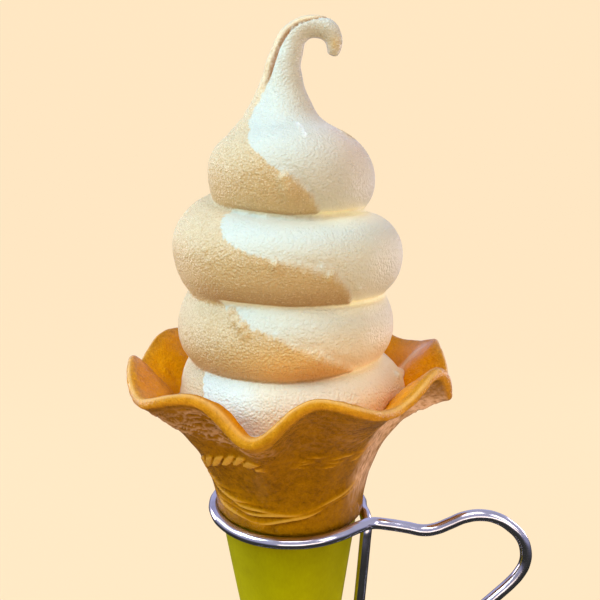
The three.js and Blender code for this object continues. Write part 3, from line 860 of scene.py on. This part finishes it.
# Soft lumps all over, finer wrinkles where it is vanilla and grains where it is caramel, and a shallow furrow along
# the upper edge of the caramel at the front.
normals = np.empty(len(spots) * 3)
cream.data.vertices.foreach_get("normal", normals)
normals = normals.reshape(-1, 3)
is_tan = step(tan, -0.4, 0.4)
blur = step(degrees, 252, 282) * step(-degrees, -340, -320)
at_edge = np.exp(-(((tan + 0.9) / 0.8) ** 2)) * blur
on_coils = step(-height, -118, -100)
push = 0.2 * grains(spots, 8, 4) * on_coils + 0.03 * grains(spots * np.array((1, 1, 1.5)), 2.4, 5)
push += is_tan * (0.05 * grains(spots, 1.8, 6) + 0.04) - 0.35 * at_edge * on_coils
push -= 0.9 * groove + 0.12 * crease * step(degrees, 200, 230)
# A thin fold low on the right of the neck, where the last of the cream was pulled away.
fold_start, fold_end = np.array((2.1, -11.2, 103)), np.array((3.8, -16.4, 99.9))
along = np.clip((spots - fold_start) @ (fold_end - fold_start) / ((fold_end - fold_start) @ (fold_end - fold_start)), 0, 1)
from_fold = np.linalg.norm(spots - fold_start - along[:, None] * (fold_end - fold_start), axis=1)
pulled = np.exp(-((from_fold / 0.48) ** 2))
push += 0.5 * pulled
give_attribute(cream, "pulled", pulled)
# Painted warm light on the right shoulder of the top coil.
from_shoulder = np.linalg.norm(spots - (12, -9, 100), axis=1)
give_attribute(cream, "shoulder_warm_light", np.exp(-((from_shoulder / 9) ** 2)))
spots += normals * push[:, None]

# Painted light: where the surface faces the key lamp, the vanilla takes a lit, cooler colour and the caramel is made
# lighter.
lit_side = normals @ (np.array((-0.45, -0.3, 0.84)))
painted_key_light = step(lit_side, 0.1, 1)
give_attribute(cream, "painted_key_light", painted_key_light)
give_attribute(cream, "wet", step(height, 100, 122))
give_attribute(cream, "split", split)
give_attribute(cream, "amber", np.exp(-((np.linalg.norm(spots - (11.2, -2, 122.6), axis=1) / 1.7) ** 2)))
give_attribute(cream, "blur", blur)
give_attribute(cream, "top", step(height, 74, 92))
# Painted warm light, as if reflected from the wafer and the table, on the low coils away from the key lamp, mostly on
# the right.
warm = step(-height, -62, -40) * (1 - 0.85 * step(lit_side, 0.1, 0.85)) * (0.15 + 0.85 * step(spots[:, 0], -20, 2))
give_attribute(cream, "warm", warm)

# Where the cream meets the wall of the cup it is pressed flat against it; near the wall it is painted a brownish
# shade.
first = int(np.argmax(wafer_kinds == "inside")) * (WAFER_AROUND + 1)
last = int(np.argmax(wafer_kinds == "well")) * (WAFER_AROUND + 1)
wall_faces = [(i, i + 1, i + WAFER_AROUND + 2, i + WAFER_AROUND + 1)
              for i in range(last - first - WAFER_AROUND - 1) if (i + 1) % (WAFER_AROUND + 1)]
cup_wall = BVHTree.FromPolygons(wafer_points[first:last].tolist(), wall_faces)
painted_wall_shade = np.zeros(len(spots))
for i in np.flatnonzero(height < 48):
    near, facing, _, gap = cup_wall.find_nearest(spots[i])
    if facing.x * near.x + facing.y * near.y > 0:
        facing = -facing
    depth = (Vector(spots[i]) - near).dot(facing)
    if depth < 0.1:
        spots[i] = near + 0.1 * facing
    painted_wall_shade[i] = math.exp(-max(depth, 0) / 2.1)
give_attribute(cream, "painted_wall_shade", painted_wall_shade)
cream.data.vertices.foreach_set("co", in_frame(spots).ravel())
cream.data.update()
select_only(cream)
bpy.ops.object.shade_smooth()

dairy = Recipe("swirled_cream")
here = dairy.place()
tan = dairy.attribute("caramel")
painted_key_light = dairy.attribute("painted_key_light")
painted_wall_shade = dairy.attribute("painted_wall_shade")
warm = dairy.attribute("warm")
wet = dairy.attribute("wet")
split = dairy.attribute("split")
blur = dairy.attribute("blur")
amber = dairy.attribute("amber")
top = dairy.attribute("top")
wander = dairy.speckle(1.6, here, 3, 0.6) * 0.5
fingers = dairy.speckle(0.8, dairy.place((1, 1, 0.22)), 2) * (blur * 0.5 + 0.8)
crease = dairy.attribute("crease")
frayed = (wander + fingers - blur * 0.3) * (1 - crease)
mask = ((tan + frayed) / (blur * (1.1 - crease) + 0.35)).between(-1, 1)
mottle = dairy.speckle(4, here, 3)
grain = dairy.speckle(0.42, here, 2, 0.6)
pebbles = 0.5 - dairy.node("ShaderNodeTexVoronoi", {"feature": "F1"}, {"Vector": here, "Scale": 1 / 0.6})
clumps = dairy.speckle(1.1, here, 3, 0.7)
# Lit and shaded copies of the vanilla: a painted shade colour, darker still on the upper coils, turns to the lit
# colour where the cream faces the key lamp.
shade = dairy.colour(top, srgb(209, 199, 174), srgb(197, 187, 164))
vanilla = dairy.colour((painted_key_light + mottle * 0.12).clamped(), shade, srgb(213, 222, 214))
# Painted warm light just under the grooves.
vanilla = dairy.colour(dairy.attribute("eave") * 0.45, vanilla, srgb(236, 222, 184))
vanilla = dairy.colour(dairy.attribute("glow") * 0.7, vanilla, srgb(255, 240, 190))
# Painted light on the lowest coil, bluish white on its left.
vanilla = dairy.colour(dairy.attribute("low") * 0.6, vanilla, srgb(238, 226, 200))
vanilla = dairy.colour(dairy.attribute("low_left") * 0.8, vanilla, srgb(226, 246, 248))
# Painted warm light on the low coils.
vanilla = dairy.colour(warm * 0.8, vanilla, srgb(255, 222, 168))
# Painted warm light on the right shoulder.
vanilla = dairy.colour(dairy.attribute("shoulder_warm_light") * 0.6, vanilla, srgb(226, 198, 180))
# Painted highlight: the pulled fold is made bright white.
vanilla = dairy.colour(dairy.attribute("pulled") * 0.85, vanilla, srgb(250, 250, 250))
# Painted brownish shade near the wall of the cup.
vanilla = dairy.colour(painted_wall_shade * 0.7, vanilla, srgb(222, 154, 102))
vanilla = dairy.colour(amber * 0.85, vanilla, srgb(208, 178, 122))
specks = dairy.speckle(0.5, here, 1).between(0.12, 0.4)
lightness = painted_key_light + mottle * 0.15 + grain * 0.2 + pebbles * 0.8 + specks * 0.4 + wet * 0.2 - 0.26
caramel = dairy.colour(lightness.clamped(), srgb(201, 169, 116), srgb(232, 217, 184))
# Painted warm light on the low coils.
caramel = dairy.colour(warm * 0.8, caramel, srgb(255, 192, 88))
# Painted light on the lowest coil.
caramel = dairy.colour(dairy.attribute("low") * 0.6, caramel, srgb(244, 226, 196))
# Painted shade under the coils.
caramel = dairy.colour(dairy.attribute("under") * 0.55, caramel, srgb(158, 114, 58))
caramel = dairy.colour(specks * 0.28, caramel, srgb(232, 206, 164))
# Painted brownish shade near the wall of the cup.
caramel = dairy.colour(painted_wall_shade * 0.8, caramel, srgb(186, 116, 50))
# Painted shade: dark brown in the split between the neck's two strands.
caramel = dairy.colour(split, caramel, srgb(150, 96, 30))
# Painted shade along the creases between the coils, at the front.
caramel = dairy.colour(crease * 0.6, caramel, srgb(160, 118, 60))
wrinkles = dairy.speckle(0.85, dairy.place((1, 1, 1.3)), 2, 0.5, 0.2)
white_height = wrinkles * 0.15 + pebbles * 0.2 + grain * 0.05
tan_height = (grain * 0.14 + pebbles * 0.4 + clumps * 0.2) * (1 - wet * 0.75)
swirled_cream = dairy.finish({
    "Base Color": dairy.colour(mask, vanilla, caramel),
    "Roughness": mask * 0.12 + mottle * 0.04 + 0.42 - wet * 0.22,
    "Specular IOR Level": 0.4,
    "Subsurface Weight": 0.25,
    "Subsurface Radius": (1, 0.72, 0.5),
    "Subsurface Scale": 0.002,
    # Painted light: the vanilla glows warm along the grooves on the front right, though it is no lamp.
    "Emission Color": dairy.colour(dairy.attribute("halo") * (1 - mask), (0, 0, 0, 1), srgb(255, 224, 160)),
    "Emission Strength": 0.17,
    "Normal": dairy.bump(white_height * (1 - mask) + tan_height * mask),
})
finish_piece(cream, swirled_cream, "vanilla", "vanilla_strand", "caramel_strand")


# ==== Studio ====
# A pale sweep of paper for floor and backdrop, a large cool lamp high on the left, a weaker warm one on the right,
# and the camera a little above the cone, looking down on it.
def sweep_place(column, row):
    along = row / 60
    run = -900 + 3600 * along
    curved = np.clip((run - 900) / 900, 0, 1)
    y = np.where(run < 900, run, 900 + 600 * np.sin(curved * math.pi / 2))
    z = np.where(run < 900, 0, 600 * (1 - np.cos(curved * math.pi / 2))) + np.maximum(run - 1800, 0)
    return np.column_stack(((column / 40 - 0.5) * 6000, y, z - 95.0))


sweep = lay_sheet("sweep", 40, 61, sweep_place)
select_only(sweep)
bpy.ops.object.shade_smooth()
backdrop = Recipe("peach_backdrop")
here = backdrop.place()
glow = backdrop.node("ShaderNodeEmission", None, {"Color": srgb(255, 231, 195), "Strength": 1.03})
soft = backdrop.node("ShaderNodeBsdfDiffuse", None, {"Color": srgb(255, 231, 195)})
blend = backdrop.node("ShaderNodeMixShader", None, {0: 0.05, 1: glow, 2: soft})
# What shines mirrors a dark table with a cool pale room behind it.
rise = backdrop.node("ShaderNodeSeparateXYZ", None, {0: here}, "Z").between(5, 160)
far = backdrop.node("ShaderNodeVectorMath", {"operation": "LENGTH"}, {0: here}, "Value").between(150, 600)
room = backdrop.colour((rise + far * 0.6).clamped(), srgb(60, 62, 58), srgb(206, 212, 252))
mirrored = backdrop.node("ShaderNodeEmission", None, {"Color": room, "Strength": 1})
glossy = backdrop.node("ShaderNodeLightPath", output="Is Glossy Ray")
blend = backdrop.node("ShaderNodeMixShader", None, {0: glossy, 1: blend, 2: mirrored})
backdrop.node("ShaderNodeOutputMaterial", None, {"Surface": blend})
sweep.data.materials.clear()
sweep.data.materials.append(backdrop.material)


def lamp(name, place, aim, size, power, colour):
    light = bpy.data.lights.new(name, "AREA")
    light.shape = "RECTANGLE"
    light.size, light.size_y = size
    light.energy = power
    light.color = colour
    holder = bpy.data.objects.new(name, light)
    holder.location = place
    holder.rotation_euler = (Vector(aim) - Vector(place)).to_track_quat("-Z", "Y").to_euler()
    bpy.context.collection.objects.link(holder)
    return holder


middle = (AXIS.x, AXIS.y, 0.14)
lamp("key", (-0.6, -0.3, 0.62), middle, (0.5, 0.4), 5.7, (0.7, 0.91, 1.0))
lamp("overhead", (0.05, -0.3, 0.92), middle, (0.5, 0.5), 3.4, (0.96, 0.93, 0.92))
lamp("fill", (0.55, -0.45, 0.42), middle, (0.25, 0.5), 1.8, (0.86, 0.84, 0.85))
lamp("table_bounce", (0.1, -0.42, 0.03), middle, (0.5, 0.2), 0.75, (1, 0.86, 0.6))
lamp("low_left", (-0.42, 0.25, 0.08), middle, (0.12, 0.3), 0.9, (0.95, 0.88, 1.0))
lamp("low_right", (0.42, 0.3, 0.08), middle, (0.12, 0.3), 0.9, (1.0, 0.86, 0.95))
shine = lamp("shine", (-0.85, 0.05, 0.5), middle, (0.9, 0.5), 2.6, (0.93, 1.0, 0.97))
shine.visible_diffuse = False

# The room in front is dim, except in reflections.
world = bpy.data.worlds.new("room")
world.use_nodes = True
nodes, links = world.node_tree.nodes, world.node_tree.links
dim, bright = nodes["Background"], nodes.new("ShaderNodeBackground")
for background, colour, strength in ((dim, (0.85, 0.8, 1.0, 1), 0.12), (bright, srgb(200, 204, 226), 1)):
    background.inputs["Color"].default_value = colour
    background.inputs["Strength"].default_value = strength
mix, ray = nodes.new("ShaderNodeMixShader"), nodes.new("ShaderNodeLightPath")
links.new(ray.outputs["Is Glossy Ray"], mix.inputs[0])
links.new(dim.outputs[0], mix.inputs[1])
links.new(bright.outputs[0], mix.inputs[2])
links.new(mix.outputs[0], nodes["World Output"].inputs["Surface"])
bpy.context.scene.world = world
bpy.context.scene.view_settings.view_transform = "Standard"

camera = bpy.data.objects.new("camera", bpy.data.cameras.new("camera"))
camera.location = in_frame((0, -184.8, 94.4))
camera.rotation_euler = (math.radians(90 - 11.1), 0, 0)
camera.data.sensor_width = 36
camera.data.lens = 36 * 710 / 600
camera.data.shift_x = 11 / 600
camera.data.clip_start = 0.01
bpy.context.collection.objects.link(camera)
bpy.context.scene.camera = camera
